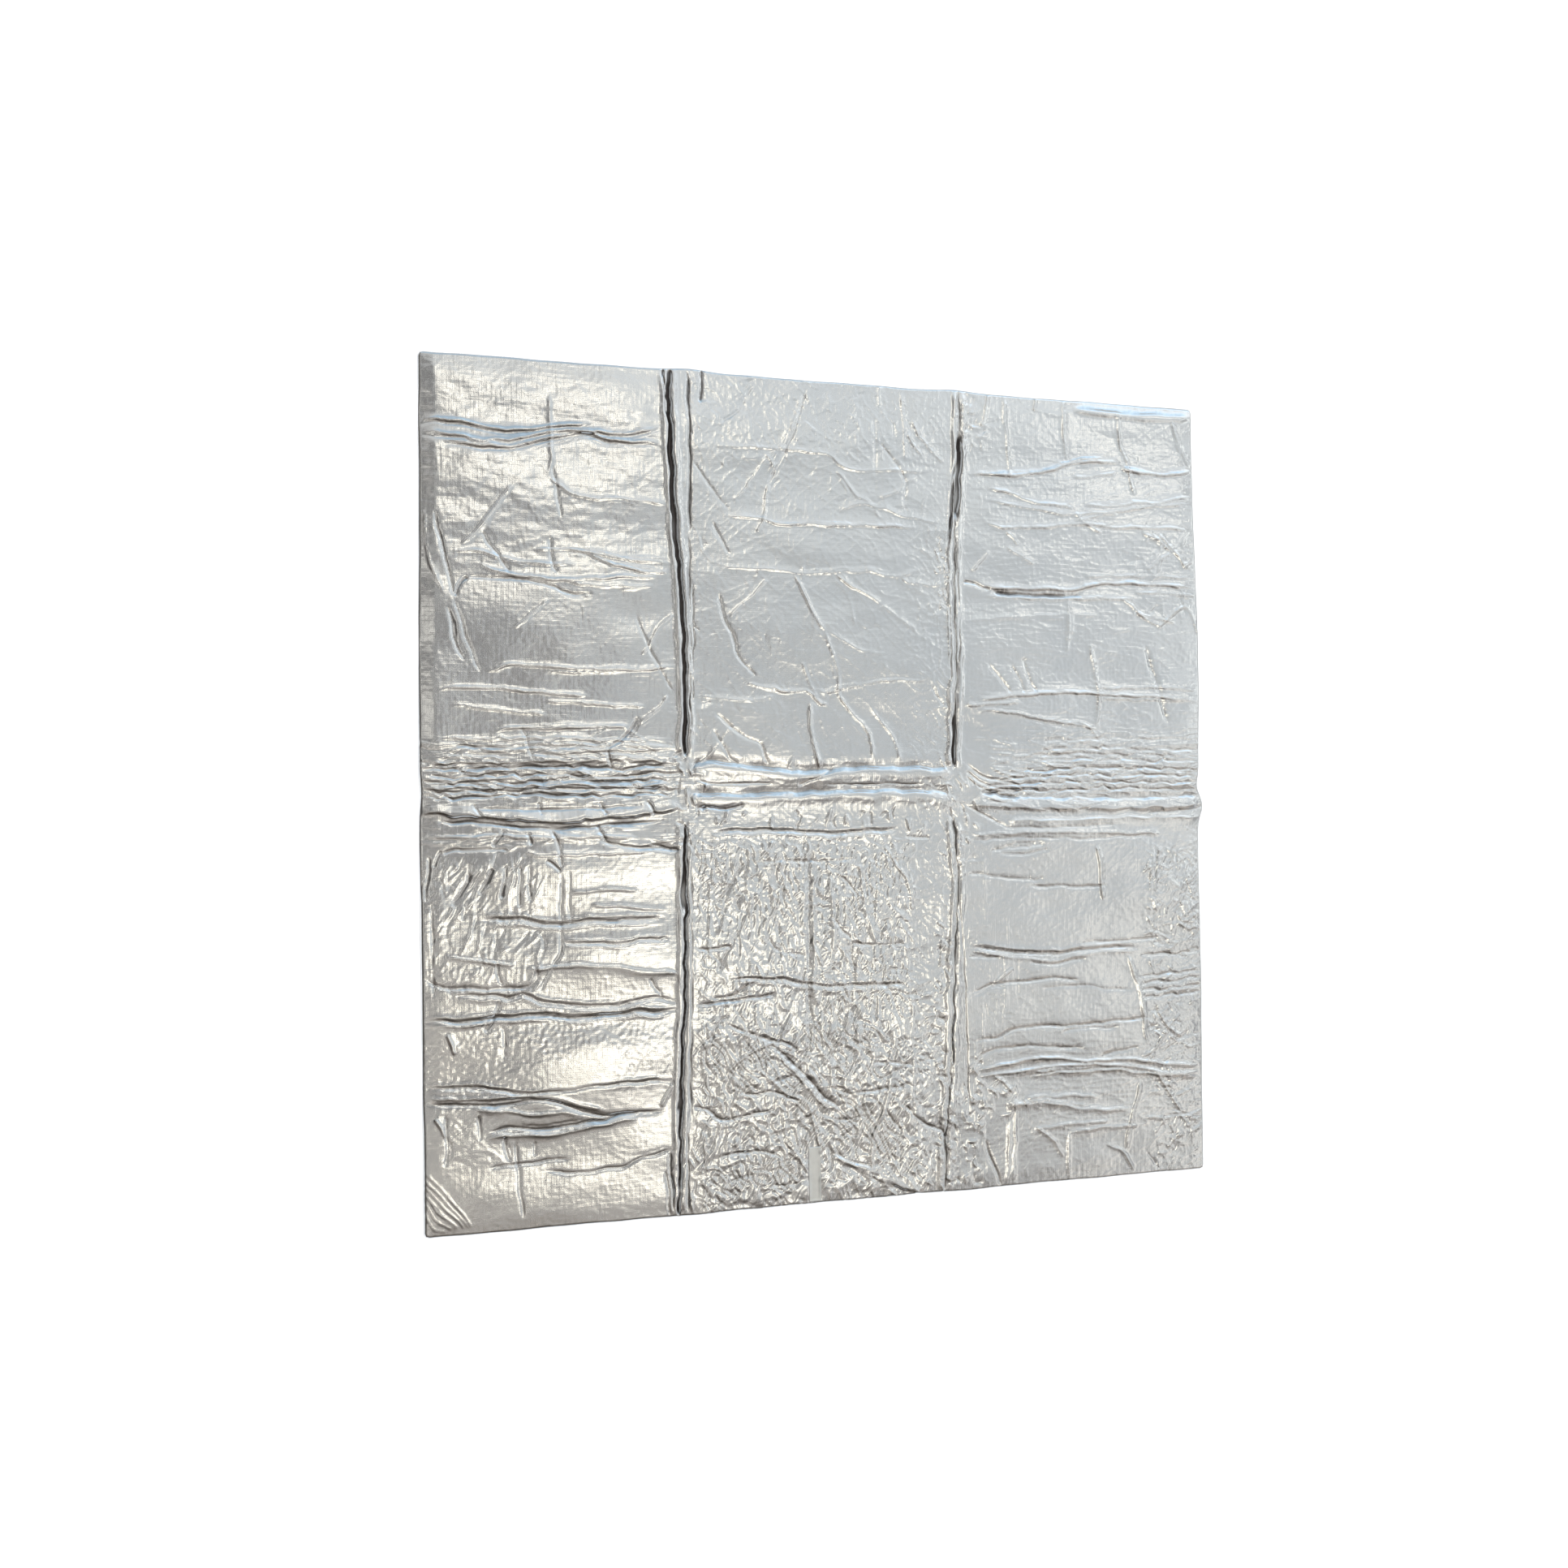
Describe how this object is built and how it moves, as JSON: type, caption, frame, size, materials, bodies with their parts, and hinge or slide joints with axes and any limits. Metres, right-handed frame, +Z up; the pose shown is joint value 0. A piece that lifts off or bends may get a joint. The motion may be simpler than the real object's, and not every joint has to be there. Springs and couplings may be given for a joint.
{
  "type": "foam sleeping mat",
  "caption": "Square foil-faced foam sleeping mat that lies flat and folds along creases into a flat bundle.",
  "frame": {"origin": "on the floor under the middle of the open mat", "axes": "+X to the right, +Y to the back, +Z up from the foam underside to the film face"},
  "size_m": [1.8, 1.8, 0.0083],
  "materials": {
    "closed_cell_foam": "matte",
    "aluminised_film": "satin",
    "clear_tape": "satin"
  },
  "bodies": {
    "front_middle": {"foam_panel_front_middle": "closed_cell_foam", "film_panel_front_middle": "aluminised_film", "foam_left_crease_front": "closed_cell_foam", "film_left_crease_front": "aluminised_film", "foam_right_crease_front": "closed_cell_foam", "film_right_crease_front": "aluminised_film", "foam_spine_crease_front_middle": "closed_cell_foam", "film_spine_crease_front_middle": "aluminised_film", "repair_tape": "clear_tape"},
    "front_left": {"foam_panel_front_left": "closed_cell_foam", "film_panel_front_left": "aluminised_film", "foam_spine_crease_front_left": "closed_cell_foam", "film_spine_crease_front_left": "aluminised_film"},
    "front_right": {"foam_panel_front_right": "closed_cell_foam", "film_panel_front_right": "aluminised_film", "foam_spine_crease_front_right": "closed_cell_foam", "film_spine_crease_front_right": "aluminised_film"},
    "spine_middle": {"foam_spine_middle": "closed_cell_foam", "film_spine_middle": "aluminised_film", "foam_left_crease_spine": "closed_cell_foam", "film_left_crease_spine": "aluminised_film", "foam_right_crease_spine": "closed_cell_foam", "film_right_crease_spine": "aluminised_film", "foam_spine_crease_back_middle": "closed_cell_foam", "film_spine_crease_back_middle": "aluminised_film"},
    "spine_left": {"foam_spine_left": "closed_cell_foam", "film_spine_left": "aluminised_film"},
    "spine_right": {"foam_spine_right": "closed_cell_foam", "film_spine_right": "aluminised_film"},
    "back_middle": {"foam_panel_back_middle": "closed_cell_foam", "film_panel_back_middle": "aluminised_film", "foam_left_crease_back": "closed_cell_foam", "film_left_crease_back": "aluminised_film", "foam_right_crease_back": "closed_cell_foam", "film_right_crease_back": "aluminised_film"},
    "back_left": {"foam_panel_back_left": "closed_cell_foam", "film_panel_back_left": "aluminised_film", "foam_spine_crease_back_left": "closed_cell_foam", "film_spine_crease_back_left": "aluminised_film"},
    "back_right": {"foam_panel_back_right": "closed_cell_foam", "film_panel_back_right": "aluminised_film", "foam_spine_crease_back_right": "closed_cell_foam", "film_spine_crease_back_right": "aluminised_film"}
  },
  "joints": [
    {"name": "half_fold", "type": "hinge", "parent": "front_middle", "child": "spine_middle", "pos_m": [0, -0.0255, 0.001], "axis": [1, 0, 0], "range_deg": [0, 90], "deforming": ["foam_spine_crease_front_middle", "film_spine_crease_front_middle", "foam_spine_crease_front_left", "film_spine_crease_front_left", "foam_spine_crease_front_right", "film_spine_crease_front_right", "foam_spine_left", "film_spine_left", "foam_spine_right", "film_spine_right"]},
    {"name": "half_fold_back", "type": "hinge", "parent": "spine_middle", "child": "back_middle", "pos_m": [0, 0.0355, 0.001], "axis": [1, 0, 0], "range_deg": [0, 90], "deforming": ["foam_spine_crease_back_middle", "film_spine_crease_back_middle", "foam_spine_crease_back_left", "film_spine_crease_back_left", "foam_spine_crease_back_right", "film_spine_crease_back_right"]},
    {"name": "left_fold", "type": "hinge", "parent": "front_middle", "child": "front_left", "pos_m": [-0.355, 0, 0.0095], "axis": [0, 1, 0], "range_deg": [0, 180], "deforming": ["foam_left_crease_front", "film_left_crease_front"]},
    {"name": "left_fold_spine", "type": "hinge", "parent": "spine_middle", "child": "spine_left", "pos_m": [-0.355, 0, 0.0095], "axis": [0, 1, 0], "range_deg": [0, 180], "deforming": ["foam_left_crease_spine", "film_left_crease_spine"]},
    {"name": "left_fold_back", "type": "hinge", "parent": "back_middle", "child": "back_left", "pos_m": [-0.355, 0, 0.0095], "axis": [0, 1, 0], "range_deg": [0, 180], "deforming": ["foam_left_crease_back", "film_left_crease_back"]},
    {"name": "right_fold", "type": "hinge", "parent": "front_middle", "child": "front_right", "pos_m": [0.28, 0, 0.015], "axis": [0, -1, 0], "range_deg": [0, 180], "deforming": ["foam_right_crease_front", "film_right_crease_front"]},
    {"name": "right_fold_spine", "type": "hinge", "parent": "spine_middle", "child": "spine_right", "pos_m": [0.28, 0, 0.015], "axis": [0, -1, 0], "range_deg": [0, 180], "deforming": ["foam_right_crease_spine", "film_right_crease_spine"]},
    {"name": "right_fold_back", "type": "hinge", "parent": "back_middle", "child": "back_right", "pos_m": [0.28, 0, 0.015], "axis": [0, -1, 0], "range_deg": [0, 180], "deforming": ["foam_right_crease_back", "film_right_crease_back"]}
  ],
  "couplings": [
    {"joint": "half_fold_back", "follows": "half_fold", "ratio": 1},
    {"joint": "left_fold_spine", "follows": "left_fold", "ratio": 1},
    {"joint": "left_fold_back", "follows": "left_fold", "ratio": 1},
    {"joint": "right_fold_spine", "follows": "right_fold", "ratio": 1},
    {"joint": "right_fold_back", "follows": "right_fold", "ratio": 1}
  ]
}
